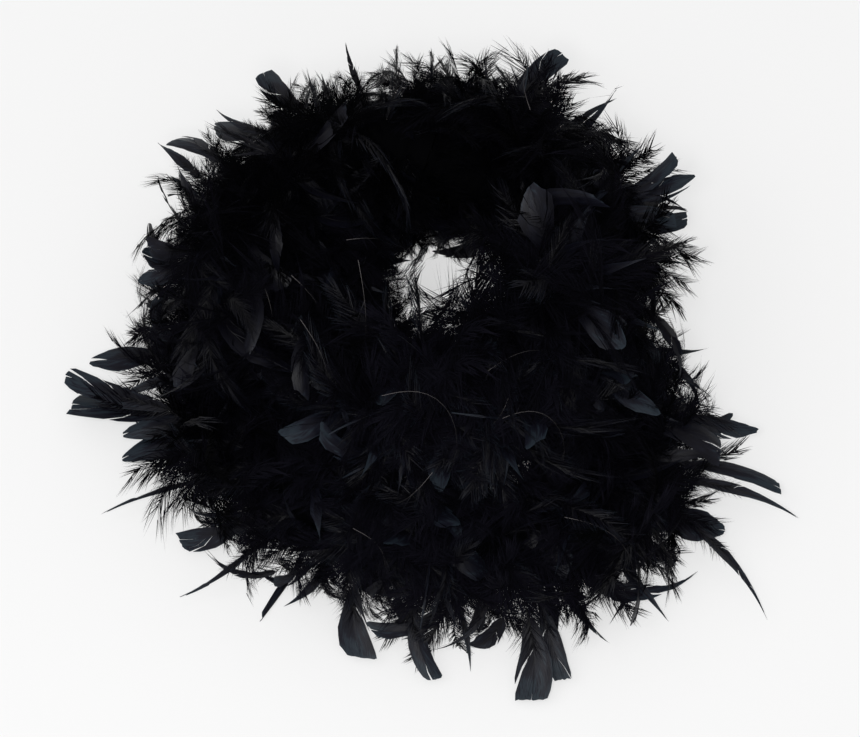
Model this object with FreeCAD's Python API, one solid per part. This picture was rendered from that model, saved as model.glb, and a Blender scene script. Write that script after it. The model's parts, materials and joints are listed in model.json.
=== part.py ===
import FreeCAD, Part
import math
import os

from FreeCAD import Vector

# A feather boa laid on a table in a little over two loose turns. Millimetres, +Z up.
# The boa is a core cord with plumes of packed down along it and flat feathers that stand out of
# the plumes. Each end of the cord has a whipping, a knot and a hanging loop. The boa is limp, so
# its low end and the last three plumes of its top end are bodies of their own, hinged where the
# cord bends. The origin is on the table, under the middle of the boa's box.

# Driving dimensions
cord_radius = 2.5           # twisted string with the quill ends bound into it
bore_gap = 0.3              # room between the cord and the down round it
lower_plume_radius = 38.0   # packed down of the turn that lies on the table
resting_height = 36.0       # cord above the table, less than the radius: the down lies flat there
upper_plume_radius = 34.0   # packed down of the turn that lies on top
arc_share = 0.45            # share of the shorter run that an arc takes at each side of its point
body_gap = 0.25             # half the gap between two bodies where the cord bends
quill_start = 7.0           # a feather's quill starts this far from the cord's middle
vane_thickness = 0.5
quill_radius = 0.8
quill_sides = 8             # a quill has flats along it
end_overhang = 24.0         # cord past the last plume, up to the knot
whipping_length = 9.0
whipping_wall = 1.1
knot_radius = 5.5
knot_flat = 50.0            # degrees of latitude where the cord's end meets the knot
loop_cord_radius = 1.2
loop_length = 22.0
loop_width = 12.0
box_shift = (-1.7, 58.5)      # moves the coil so that the origin is under the middle of the box

# The coil, in degrees of turn from the low end to the top end
first_angle = 132.0
angle_step = 24.0
point_count = 34
plume_count = 16
upper_from = 8              # plumes from this number on have the upper radius

# Bodies, by the numbers of their plumes
body_plumes = {
    "low_tail": (1, 1),
    "coil": (2, 13),
    "top_strand": (14, 14),
    "top_link": (15, 15),
    "top_tail": (16, 16),
}
# Bends between bodies: the plume before the bend, "lift" or "swing", degrees, and the body past it
bends = [
    (1, "swing", 30, "low_tail"),
    (13, "lift", 25, "top_strand"),
    (14, "lift", 30, "top_link"),
    (15, "lift", 50, "top_tail"),
]

# Feathers that stand out: plume, place along it, tip of the feather, width, droop, shape of tip
standing_feathers = [
    (1, -40, (-226, 132, 56), 24, 16, "square"), (1, -30, (-222, 108, 34), 12, 12, "point"),
    (1, -10, (-248, 70, 34), 30, 14, "round"), (1, 10, (-249, 42, 26), 16, 12, "point"),
    (2, -20, (-286, -92, 32), 26, 14, "square"), (2, -5, (-262, -122, 22), 38, 14, "round"),
    (2, 12, (-280, -170, 12), 12, 12, "point"), (2, 30, (-212, -196, 14), 26, 14, "square"),
    (2, 42, (-211, -245, 8), 12, 12, "point"),
    (3, -45, (-125, -256, 14), 18, 14, "point"), (3, -20, (-50, -303, 8), 42, 14, "square"),
    (3, 0, (-16, -288, 12), 13, 14, "point"), (3, 18, (4, -320, 8), 22, 14, "square"),
    (3, 40, (34, -317, 8), 16, 12, "square"),
    (4, -50, (85, -338, 6), 42, 14, "square"), (4, -28, (112, -320, 8), 22, 14, "square"),
    (4, -8, (152, -288, 10), 20, 14, "point"), (4, 12, (201, -269, 12), 20, 14, "point"),
    (4, 30, (236, -228, 20), 14, 20, "point"), (4, 45, (285, -262, 8), 16, 12, "point"),
    (5, -50, (316, -177, 18), 18, 12, "point"), (5, -38, (298, -146, 26), 20, 14, "square"),
    (5, -22, (279, -104, 40), 26, 16, "round"), (5, 0, (248, -66, 38), 16, 16, "point"),
    (5, 22, (240, -26, 40), 18, 16, "point"),
    (6, -40, (223, 50, 48), 18, 16, "point"), (6, -20, (222, 92, 52), 24, 18, "square"),
    (6, 0, (228, 126, 50), 14, 14, "point"), (6, 30, (162, 195, 78), 14, 14, "point"),
    (7, -30, (64, 213, 92), 20, 16, "point"), (7, 0, (16, 210, 96), 24, 16, "round"),
    (7, 30, (-89, 192, 82), 14, 14, "point"),
    (8, 0, (-34, 20, 160), 18, 20, "point"), (8, 24, (-46, -6, 168), 14, 16, "round"),
    (9, 0, (-50, -60, 168), 18, 16, "point"), (9, 20, (-96, -74, 170), 22, 16, "round"),
    (10, -18, (-122, -150, 128), 26, 24, "square"), (10, 14, (-58, -182, 118), 22, 20, "point"),
    (11, -16, (8, -196, 120), 26, 22, "round"), (11, 16, (78, -190, 130), 20, 20, "point"),
    (12, -10, (192, -128, 126), 24, 22, "round"), (12, 16, (196, -62, 146), 18, 20, "point"),
    (13, -10, (208, 46, 140), 22, 22, "square"), (13, 14, (182, 118, 142), 16, 18, "point"),
    (14, -10, (114, 218, 118), 26, 20, "square"), (14, 10, (84, 190, 176), 16, 18, "point"),
    (14, 0, (34, 116, 224), 22, 16, "round"), (15, -4, (-66, 128, 232), 24, 16, "round"),
    (15, -14, (-60, 196, 176), 18, 20, "point"), (15, 4, (-143, 187, 140), 28, 20, "square"),
    (15, 20, (-184, 164, 118), 16, 18, "point"),
    (16, -20, (-234, 146, 96), 22, 20, "point"), (16, 4, (-266, 8, 100), 18, 24, "round"),
    (16, 20, (-311, -50, 70), 28, 24, "square"), (16, 36, (-306, -92, 68), 24, 22, "point"),
]


def smooth(value, start, end):
    """0 before the start, 1 past the end, and an even ease between."""
    share = min(1.0, max(0.0, (value - start) / (end - start)))
    return share * share * (3 - 2 * share)


def bulge(angle, towards):
    return max(0.0, math.cos(math.radians(angle - towards))) ** 3


def coil_point(angle):
    """The cord's middle: a turn on the table, a climb, a smaller turn on it, and a top tail."""
    cos, sin = math.cos(math.radians(angle)), math.sin(math.radians(angle))
    flare = 26 * (1 - smooth(angle, 140, 215))
    wide = 40 * bulge(angle, -42) + 24 * bulge(angle, 48) + flare
    low = Vector(-14 + (140 + wide) * cos, -30 + (171 + wide) * sin, resting_height)
    shift = 26 * bulge(angle, -50) + 85 * smooth(angle, 800, 900)
    rise = 60 * smooth(angle, 765, 835) - 34 * smooth(angle, 848, 896)
    high = Vector(6 + (102 + shift) * cos, (100 + shift) * sin, 97 + 11 * (cos + sin) + rise)
    climb = smooth(angle, 425, 505)
    return low * (1 - climb) + high * climb + Vector(box_shift[0], box_shift[1], 0)


points = [coil_point(first_angle + angle_step * i) for i in range(point_count)]


def plume_radius(number):
    return upper_plume_radius if number >= upper_from else lower_plume_radius


def middle(run):
    return (points[run] + points[run + 1]) * 0.5


def run_direction(run):
    return (points[run + 1] - points[run]).normalize()


def corner_arc(before, corner, after):
    """Start, middle and end of the arc at a corner of the route, and its radius."""
    into, out = corner - before, after - corner
    cut = arc_share * min(into.Length, out.Length)
    turn = into.getAngle(out)
    radius = cut / math.tan(turn / 2)
    start = corner - into.normalize() * cut
    end = corner + out.normalize() * cut
    inward = (start + end) * 0.5 - corner
    to_centre = math.hypot(radius, cut)
    centre = corner + inward.normalize() * to_centre
    mid = centre - inward.normalize() * radius
    return start, mid, end, radius


def route_wire(path):
    """Straight runs joined by tangent arcs through a list of points."""
    edges, here, radii = [], path[0], []
    for before, corner, after in zip(path, path[1:], path[2:]):
        start, mid, end, radius = corner_arc(before, corner, after)
        if (start - here).Length > 1e-6:
            edges.append(Part.LineSegment(here, start).toShape())
        edges.append(Part.Arc(start, mid, end).toShape())
        here = end
        radii.append(radius)
    edges.append(Part.LineSegment(here, path[-1]).toShape())
    return Part.Wire(edges), radii


def tube(path, radius):
    """A round tube along a route, and the radii of its arcs."""
    wire, radii = route_wire(path)
    ring = Part.Wire([Part.makeCircle(radius, path[0], path[1] - path[0])])
    solid = Part.Solid(wire.makePipeShell([ring], True, False, 2))
    if solid.Volume < 0:
        solid.reverse()
    expected = wire.Length * math.pi * radius ** 2
    if abs(solid.Volume / expected - 1) > 0.01:
        raise ValueError("a tube's volume is off: %.3f" % (solid.Volume / expected))
    return solid, radii


def plume_path(number):
    run = 2 * number - 2
    return [middle(run), points[run + 1], points[run + 2], middle(run + 2)]


def frame_at(origin, along, upward):
    """Placement with X across, Y along and Z near upward."""
    y = Vector(along).normalize()
    x = y.cross(upward).normalize()
    z = x.cross(y)
    matrix = FreeCAD.Matrix(
        x.x, y.x, z.x, origin.x,
        x.y, y.y, z.y, origin.y,
        x.z, y.z, z.z, origin.z,
        0, 0, 0, 1,
    )
    return FreeCAD.Placement(matrix)


def bend_frame(number, kind, body):
    """Place and axis of a bend, and the way past it. A positive turn opens the bend."""
    run = 2 * number
    past = run_direction(run) * (-1 if body.startswith("low") else 1)
    if kind == "lift":
        return middle(run), Vector(past.x, past.y, 0).normalize().cross(Vector(0, 0, 1)), past
    return middle(run), Vector(0, 0, 1), past


def bend_relief(number, kind, degrees, body):
    """The wedge of room that a bend needs, on the side that closes as it opens."""
    reach = 2.5 * lower_plume_radius
    place, axis, past = bend_frame(number, kind, body)
    closing = axis.cross(past).normalize() * reach
    lean = past * (math.tan(math.radians(degrees / 2 + 1)) * reach)
    gap = past * body_gap
    sheet = Part.makePolygon([
        place - closing - gap, place - gap, place + closing - gap - lean,
        place + closing + gap + lean, place + gap, place - closing + gap, place - closing - gap,
    ])
    side = axis * reach
    wedge = Part.Face(sheet).extrude(side * 2)
    wedge.translate(side * -1)
    return wedge


def make_plume(number, reliefs):
    path = plume_path(number)
    solid, _ = tube(path, plume_radius(number))
    before = path[0] - run_direction(2 * number - 2) * 2
    after = path[-1] + run_direction(2 * number) * 2
    bore, _ = tube([before] + path[1:-1] + [after], cord_radius + bore_gap)
    table = Part.makeBox(1000, 1000, 100, Vector(-500, -500, -100))
    solid = solid.cut(bore).cut(table)
    for near, wedge in reliefs:
        if number in (near, near + 1):
            solid = solid.cut(wedge)
    return solid


def make_cord(first, last, reliefs):
    """The core cord of one body: through its plumes and, at a free end, on to the knot."""
    path = [middle(2 * first - 2)] + points[2 * first - 1:2 * last + 1] + [middle(2 * last)]
    if first == 1:
        path[0] = path[0] - run_direction(0) * end_overhang
    if last == plume_count:
        path[-1] = path[-1] + run_direction(2 * plume_count) * end_overhang
    solid, radii = tube(path, cord_radius)
    for near, wedge in reliefs:
        if near in (first - 1, last):
            solid = solid.cut(wedge)
    return solid, radii


def vane_outline(length, width, tip):
    """Face of a feather in its own plane, along +Y: bare quill, vane and a tip."""
    half, foot = width / 2, 0.34 * length
    shoulder = {"point": 0.62, "round": 0.84, "square": 0.93}[tip]
    end_half = {"point": 0.0, "round": 0.0, "square": 0.30 * width}[tip]
    left_foot, right_foot = Vector(-quill_radius, foot, 0), Vector(quill_radius, foot, 0)
    left, right = Vector(-half, shoulder * length, 0), Vector(half, shoulder * length, 0)
    belly = Vector(0.72 * half, (foot + shoulder * length) * 0.47, 0)
    edges = [
        Part.LineSegment(left_foot, right_foot).toShape(),
        Part.Arc(right_foot, belly, right).toShape(),
    ]
    top = Vector(0, length, 0)
    if tip == "square":
        left_end, right_end = Vector(-end_half, length, 0), Vector(end_half, length, 0)
        edges.append(Part.LineSegment(right, right_end).toShape())
        edges.append(Part.LineSegment(right_end, left_end).toShape())
        edges.append(Part.LineSegment(left_end, left).toShape())
    else:
        bulge = {"point": 0.60, "round": 0.78}[tip]
        knee = Vector(bulge * half, (shoulder + 1) / 2 * length, 0)
        edges.append(Part.Arc(right, knee, top).toShape())
        edges.append(Part.Arc(top, Vector(-knee.x, knee.y, 0), left).toShape())
    edges.append(Part.Arc(left, Vector(-belly.x, belly.y, 0), left_foot).toShape())
    return Part.Face(Part.Wire(edges))


def make_feather(number, place, tip_place, width, droop, tip):
    """One flat feather: a vane cut from a drooping shell, and its round quill along the same arc."""
    run = 2 * number - 1
    base = middle(run) + run_direction(run) * place
    chord = Vector(*tip_place) + Vector(box_shift[0], box_shift[1], 0) - base
    root = base + chord.normalize() * quill_start
    length = (Vector(*tip_place) + Vector(box_shift[0], box_shift[1], 0) - root).Length
    turn = math.radians(droop)
    curve = length / (2 * math.sin(turn / 2))
    reach = curve * math.sin(turn)
    centre = Vector(0, 0, -curve)
    tall = Vector(0, 0, 2 * length)
    outline = vane_outline(reach, width, tip)
    outline.translate(tall * -1)
    prism = outline.extrude(tall * 2)
    across = Vector(1, 0, 0)
    side = Vector(-width, 0, -curve)
    outer = Part.makeCylinder(curve + vane_thickness / 2, 2 * width, side, across)
    inner = Part.makeCylinder(curve - vane_thickness / 2, 2 * width, side, across)
    vane = prism.common(outer.cut(inner))
    quill_turn = 0.86 * turn
    spine = Part.Arc(
        Vector(0, 0, 0),
        centre + Vector(0, math.sin(quill_turn / 2), math.cos(quill_turn / 2)) * curve,
        centre + Vector(0, math.sin(quill_turn), math.cos(quill_turn)) * curve,
    ).toShape()
    corners = [math.radians(360 * i / quill_sides) for i in range(quill_sides + 1)]
    ring = Part.makePolygon([Vector(math.cos(c), 0, math.sin(c)) * quill_radius for c in corners])
    quill = Part.Solid(Part.Wire([spine]).makePipeShell([ring], True, False))
    if quill.Volume < 0:
        quill.reverse()
    feather = quill.fuse(vane)
    feather.rotate(Vector(0, 0, 0), across, droop / 2)
    feather.Placement = frame_at(root, chord, Vector(0, 0, 1)).multiply(feather.Placement)
    return feather


def end_places(at_start):
    """The cord's free end, the way it points, and the knot's middle."""
    if at_start:
        out = run_direction(0) * -1
        tip = middle(0) + out * end_overhang
    else:
        out = run_direction(2 * plume_count)
        tip = middle(2 * plume_count) + out * end_overhang
    return tip, out, tip + out * (knot_radius * math.sin(math.radians(knot_flat)))


def make_end(at_start):
    """Whipping, knot and hanging loop of one end, each a solid of its own."""
    tip, out, knot_middle = end_places(at_start)
    start = tip - out * (whipping_length + 0.5)
    sleeve = Part.makeCylinder(cord_radius + whipping_wall, whipping_length, start, out)
    whipping = sleeve.cut(
        Part.makeCylinder(cord_radius + 0.05, whipping_length + 2, start - out, out)
    )
    knot = Part.makeSphere(knot_radius, knot_middle, out, -knot_flat, 90, 360)
    half = loop_width / 2
    corner = half * 0.6
    turn = 1 - math.sqrt(0.5)
    foot = knot_radius + loop_cord_radius + 0.4
    straight = foot + loop_length - half
    edges = [
        Part.LineSegment(Vector(-half + corner, foot, 0), Vector(half - corner, foot, 0)).toShape(),
        Part.Arc(
            Vector(half - corner, foot, 0),
            Vector(half - corner * turn, foot + corner * turn, 0),
            Vector(half, foot + corner, 0),
        ).toShape(),
        Part.LineSegment(Vector(half, foot + corner, 0), Vector(half, straight, 0)).toShape(),
        Part.Arc(
            Vector(half, straight, 0), Vector(0, straight + half, 0), Vector(-half, straight, 0)
        ).toShape(),
        Part.LineSegment(Vector(-half, straight, 0), Vector(-half, foot + corner, 0)).toShape(),
        Part.Arc(
            Vector(-half, foot + corner, 0),
            Vector(-half + corner * turn, foot + corner * turn, 0),
            Vector(-half + corner, foot, 0),
        ).toShape(),
    ]
    ring = Part.Wire([
        Part.makeCircle(loop_cord_radius, Vector(-half + corner, foot, 0), Vector(1, 0, 0))
    ])
    loop = Part.Solid(Part.Wire(edges).makePipeShell([ring], True, False, 2))
    if loop.Volume < 0:
        loop.reverse()
    loop.Placement = frame_at(knot_middle, Vector(0, 0, -1), out)
    return whipping, knot, loop


def export(name, shape):
    solids = shape.Solids
    whole = solids[0] if len(solids) == 1 else Part.makeCompound(solids)
    if not all(s.isValid() for s in solids):
        raise ValueError("%s is not a valid solid" % name)
    whole.exportStep("parts/%s.step" % name)
    return whole


def main():
    os.makedirs("parts", exist_ok=True)
    reliefs = [(n, bend_relief(n, kind, degrees, body)) for n, kind, degrees, body in bends]
    made = {}
    for number in range(1, plume_count + 1):
        made["plume_%02d" % number] = make_plume(number, reliefs)
        here = [make_feather(*row) for row in standing_feathers if row[0] == number]
        made["feathers_%02d" % number] = Part.makeCompound(here)
    for body, (first, last) in body_plumes.items():
        solid, radii = make_cord(first, last, reliefs)
        made["core_cord_" + body] = solid
        print("core_cord_%s: arc radii %s" % (body, [round(r) for r in radii]))
    for end, at_start in (("low", True), ("top", False)):
        whipping, knot, loop = make_end(at_start)
        made[end + "_whipping"] = whipping
        made[end + "_knot"] = knot
        made[end + "_hanging_loop"] = loop
    whole = Part.makeCompound([export(name, shape) for name, shape in sorted(made.items())])
    box = whole.BoundBox
    plumes = sum(s.Volume for name, s in made.items() if name.startswith("plume"))
    print("box x %.1f %.1f  y %.1f %.1f  z %.1f %.1f" % (
        box.XMin, box.XMax, box.YMin, box.YMax, box.ZMin, box.ZMax))
    print("volume %.2f litres, plumes %.2f" % (whole.Volume / 1e6, plumes / 1e6))
    route = [middle(0) - run_direction(0) * end_overhang] + points[1:-1]
    route.append(middle(2 * plume_count) + run_direction(2 * plume_count) * end_overhang)
    wire, _ = route_wire(route)
    print("cord length %.0f" % wire.Length)
    for number, kind, degrees, body in bends:
        place, axis, _ = bend_frame(number, kind, body)
        print("bend", body, kind, degrees, [round(c, 2) for c in place],
              [round(c, 4) for c in axis])
    for end, at_start in (("low", True), ("top", False)):
        tip, out, knot_middle = end_places(at_start)
        across = Vector(out.x, out.y, 0).normalize().cross(Vector(0, 0, 1))
        print("end", end, [round(c, 2) for c in knot_middle], [round(c, 4) for c in across])


main()
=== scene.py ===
import json
import math
import random

import bmesh
import bpy
import numpy as np
from mathutils import Matrix, Vector, noise
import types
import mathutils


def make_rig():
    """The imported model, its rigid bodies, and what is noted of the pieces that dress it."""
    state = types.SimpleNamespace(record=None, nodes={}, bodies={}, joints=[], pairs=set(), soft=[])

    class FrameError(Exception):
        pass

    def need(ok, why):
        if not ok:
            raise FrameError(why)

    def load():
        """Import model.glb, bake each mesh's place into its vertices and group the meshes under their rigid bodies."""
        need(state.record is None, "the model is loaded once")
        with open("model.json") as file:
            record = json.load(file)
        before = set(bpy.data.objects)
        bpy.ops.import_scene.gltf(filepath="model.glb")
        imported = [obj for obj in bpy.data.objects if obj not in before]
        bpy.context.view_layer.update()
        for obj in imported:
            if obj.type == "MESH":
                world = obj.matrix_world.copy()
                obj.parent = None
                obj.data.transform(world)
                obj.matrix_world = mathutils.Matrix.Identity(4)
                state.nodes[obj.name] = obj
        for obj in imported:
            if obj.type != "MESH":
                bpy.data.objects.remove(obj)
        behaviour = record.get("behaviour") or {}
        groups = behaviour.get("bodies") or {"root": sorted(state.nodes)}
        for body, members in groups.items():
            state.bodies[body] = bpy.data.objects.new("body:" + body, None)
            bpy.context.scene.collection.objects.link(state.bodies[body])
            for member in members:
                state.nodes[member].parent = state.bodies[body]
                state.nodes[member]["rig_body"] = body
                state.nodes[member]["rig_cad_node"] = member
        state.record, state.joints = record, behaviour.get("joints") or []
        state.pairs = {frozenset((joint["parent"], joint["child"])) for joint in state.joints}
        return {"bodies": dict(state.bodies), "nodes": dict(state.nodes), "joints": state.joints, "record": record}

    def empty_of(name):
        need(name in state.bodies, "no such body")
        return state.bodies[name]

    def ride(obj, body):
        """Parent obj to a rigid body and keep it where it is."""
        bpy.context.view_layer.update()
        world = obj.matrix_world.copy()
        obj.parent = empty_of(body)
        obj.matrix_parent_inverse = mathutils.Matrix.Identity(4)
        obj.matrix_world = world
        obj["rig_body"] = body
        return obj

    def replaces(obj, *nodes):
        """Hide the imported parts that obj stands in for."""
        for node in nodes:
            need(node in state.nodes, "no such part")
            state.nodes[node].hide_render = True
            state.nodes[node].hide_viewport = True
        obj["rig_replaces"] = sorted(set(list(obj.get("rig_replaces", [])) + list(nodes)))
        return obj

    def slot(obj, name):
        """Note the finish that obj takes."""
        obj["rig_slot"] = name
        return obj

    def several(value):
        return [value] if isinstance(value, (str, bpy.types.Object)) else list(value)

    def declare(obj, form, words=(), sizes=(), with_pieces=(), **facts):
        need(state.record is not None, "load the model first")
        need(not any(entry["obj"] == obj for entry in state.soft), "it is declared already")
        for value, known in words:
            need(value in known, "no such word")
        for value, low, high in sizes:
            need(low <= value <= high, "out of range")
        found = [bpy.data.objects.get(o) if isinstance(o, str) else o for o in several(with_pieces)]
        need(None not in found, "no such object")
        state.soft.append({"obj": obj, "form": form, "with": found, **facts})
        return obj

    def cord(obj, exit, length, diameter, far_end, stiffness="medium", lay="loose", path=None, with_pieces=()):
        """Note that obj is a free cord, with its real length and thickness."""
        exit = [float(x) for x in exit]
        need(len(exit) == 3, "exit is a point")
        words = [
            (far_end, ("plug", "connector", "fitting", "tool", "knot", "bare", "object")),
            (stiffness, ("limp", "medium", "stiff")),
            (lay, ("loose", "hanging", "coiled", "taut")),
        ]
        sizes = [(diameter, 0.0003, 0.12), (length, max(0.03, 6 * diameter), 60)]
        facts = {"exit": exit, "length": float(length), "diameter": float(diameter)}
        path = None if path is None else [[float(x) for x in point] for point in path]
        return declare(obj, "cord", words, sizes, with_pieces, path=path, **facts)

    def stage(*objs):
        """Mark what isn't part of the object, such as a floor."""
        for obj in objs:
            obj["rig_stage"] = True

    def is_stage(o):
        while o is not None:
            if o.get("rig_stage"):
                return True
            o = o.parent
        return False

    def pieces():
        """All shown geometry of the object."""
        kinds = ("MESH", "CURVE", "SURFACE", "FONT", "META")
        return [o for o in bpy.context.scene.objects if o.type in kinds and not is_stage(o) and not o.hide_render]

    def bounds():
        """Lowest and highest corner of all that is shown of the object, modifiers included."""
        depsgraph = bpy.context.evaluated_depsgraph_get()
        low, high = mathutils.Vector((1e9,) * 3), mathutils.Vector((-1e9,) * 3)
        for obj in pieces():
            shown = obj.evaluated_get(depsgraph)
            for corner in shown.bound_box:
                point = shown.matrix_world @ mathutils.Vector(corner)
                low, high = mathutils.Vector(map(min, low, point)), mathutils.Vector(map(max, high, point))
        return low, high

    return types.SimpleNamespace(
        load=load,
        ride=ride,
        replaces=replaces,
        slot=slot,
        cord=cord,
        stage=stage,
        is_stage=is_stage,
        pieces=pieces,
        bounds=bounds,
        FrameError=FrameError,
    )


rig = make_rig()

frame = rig.load()
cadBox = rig.bounds()
scene = bpy.context.scene
sectionCount = 16              # lengths of boa, each its own piece
noise.seed_set(11)             # the same tufts in every run

# The boa's route: one formula for the whole coil, in metres and degrees of turn
coil = {
    "firstAngle": 132.0,
    "angleStep": 24.0,
    "pointCount": 34,
    "restingHeight": 0.036,
    "boxShift": Vector((-0.0017, 0.0585, 0.0)),
}


def smooth(value, start, end):
    share = min(1.0, max(0.0, (value - start) / (end - start)))
    return share * share * (3 - 2 * share)


def bulge(angle, towards):
    return max(0.0, math.cos(math.radians(angle - towards))) ** 3


def coilPoint(angle):
    # the low turn is a wide oval on the table; the high one is smaller, lies on it and rises at its end
    cos, sin = math.cos(math.radians(angle)), math.sin(math.radians(angle))
    flare = 0.026 * (1 - smooth(angle, 140, 215))
    wide = 0.040 * bulge(angle, -42) + 0.024 * bulge(angle, 48) + flare
    low = Vector((-0.014 + (0.140 + wide) * cos, -0.030 + (0.171 + wide) * sin, coil["restingHeight"]))
    shift = 0.026 * bulge(angle, -50) + 0.085 * smooth(angle, 800, 900)
    rise = 0.060 * smooth(angle, 765, 835) - 0.034 * smooth(angle, 848, 896)
    high = Vector((0.006 + (0.102 + shift) * cos, (0.100 + shift) * sin,
                   0.097 + 0.011 * (cos + sin) + rise))
    return low.lerp(high, smooth(angle, 425, 505)) + coil["boxShift"]


routePoints = [coilPoint(coil["firstAngle"] + coil["angleStep"] * i) for i in range(coil["pointCount"])]


def middle(run):
    return (routePoints[run] + routePoints[run + 1]) / 2


# Camera, floor and light: metres and watts
view = {
    "elevation": 65.0,
    "distance": 5.0,
    "frameWidth": 0.7396,      # metres across the picture at the aim
    "aim": Vector((-0.0017, 0.0585, 0.035)),
    "drop": 0.0393,            # the aim sits this far above the picture's middle
    "sensor": 36,
}
studio = {
    "sky": 0.66,
    "keyLight": ((-0.15, -1.25, 2.75), 0.6, 34),     # place, size, power
    "fillLight": ((-1.5, -0.4, 2.1), 1.6, 7),
    "lightAim": Vector((0, 0, 0.05)),
    "floorSize": 6,
    "floorGrey": 0.36,
    "floorGlow": 0.56,         # a lit table, so shadows stay faint
}


def makeCamera():
    lift = math.radians(view["elevation"])
    up = Vector((0, math.sin(lift), math.cos(lift)))
    back = Vector((0, -math.cos(lift), math.sin(lift)))
    data = bpy.data.cameras.new("boaCamera")
    data.sensor_width = view["sensor"]
    data.lens = view["sensor"] * view["distance"] / view["frameWidth"]
    data.clip_end = 20
    camera = bpy.data.objects.new("boaCamera", data)
    camera.location = view["aim"] - up * view["drop"] + back * view["distance"]
    camera.rotation_euler = (math.radians(90) - lift, 0, 0)
    scene.collection.objects.link(camera)
    scene.camera = camera


def addSoftLight(name, place, size, power):
    data = bpy.data.lights.new(name, "AREA")
    data.shape = "DISK"
    data.size = size
    data.energy = power
    lamp = bpy.data.objects.new(name, data)
    lamp.location = place
    lamp.rotation_euler = (studio["lightAim"] - Vector(place)).to_track_quat("-Z", "Y").to_euler()
    scene.collection.objects.link(lamp)


def makeStudio():
    scene.view_settings.view_transform = "Standard"
    world = bpy.data.worlds.new("studio")
    scene.world = world
    world.use_nodes = True
    sky = world.node_tree.nodes["Background"]
    sky.inputs["Color"].default_value = (1, 1, 1, 1)
    sky.inputs["Strength"].default_value = studio["sky"]
    for light in ("keyLight", "fillLight"):
        addSoftLight(light, *studio[light])
    bm = bmesh.new()
    bmesh.ops.create_grid(bm, x_segments=1, y_segments=1, size=studio["floorSize"])
    mesh = bpy.data.meshes.new("studioFloor")
    bm.to_mesh(mesh)
    bm.free()
    floor = bpy.data.objects.new("studioFloor", mesh)
    scene.collection.objects.link(floor)
    paint = bpy.data.materials.new("paleFloor")
    paint.use_nodes = True
    shader = paint.node_tree.nodes["Principled BSDF"]
    grey = studio["floorGrey"]
    shader.inputs["Base Color"].default_value = (grey, grey, grey, 1)
    shader.inputs["Emission Color"].default_value = (1, 1, 1, 1)
    shader.inputs["Emission Strength"].default_value = studio["floorGlow"]
    shader.inputs["Roughness"].default_value = 0.9
    shader.inputs["Specular IOR Level"].default_value = 0.1
    mesh.materials.append(paint)
    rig.stage(floor)


makeCamera()
makeStudio()
print("camera and studio ready")


# Materials. Feathers and down carry their own map: across the vane in U, root to tip in V
def newMaterial(name, roughness, gloss):
    material = bpy.data.materials.new(name)
    material.use_nodes = True
    shader = material.node_tree.nodes["Principled BSDF"]
    shader.inputs["Roughness"].default_value = roughness
    shader.inputs["Specular IOR Level"].default_value = gloss
    return material, material.node_tree, shader


def mathNode(tree, operation, first, second):
    node = tree.nodes.new("ShaderNodeMath")
    node.operation = operation
    for socket, value in zip(node.inputs, (first, second)):
        if isinstance(value, (int, float)):
            socket.default_value = value
        else:
            tree.links.new(value, socket)
    return node.outputs[0]


def rampNode(tree, factor, stops):
    node = tree.nodes.new("ShaderNodeValToRGB")
    tree.links.new(factor, node.inputs["Fac"])
    elements = node.color_ramp.elements
    while len(elements) < len(stops):
        elements.new(0.5)
    for element, (position, colour) in zip(elements, stops):
        element.position = position
        element.color = (*colour, 1)
    return node.outputs["Color"]


def featherMap(tree):
    source = tree.nodes.new("ShaderNodeUVMap")
    source.uv_map = "OFBake"
    split = tree.nodes.new("ShaderNodeSeparateXYZ")
    tree.links.new(source.outputs["UV"], split.inputs[0])
    return source.outputs["UV"], split.outputs["X"], split.outputs["Y"]


vaneLook = {
    # painted shade and light: the dark root stands for shade deep in the fluff, the pale tips for light caught by and
    # passing through thin barbs
    "root": (0.0011, 0.0010, 0.0018),
    "middle": (0.0026, 0.0025, 0.0050),
    "tip": (0.0066, 0.0072, 0.0130),
    "thinTip": (0.0150, 0.0220, 0.0300),
    "quillRoot": (0.13, 0.12, 0.12),
    "quillTip": (0.012, 0.012, 0.013),
    "roughness": 0.40,
    "gloss": 0.12,
    "streaks": 75.0,           # fine lines along a vane
    "unevenness": 1.1,
    "middleLine": 0.45,        # where the map puts the shaft
    "quillStrip": 0.95,        # the map beyond this is the quill
}


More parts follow.
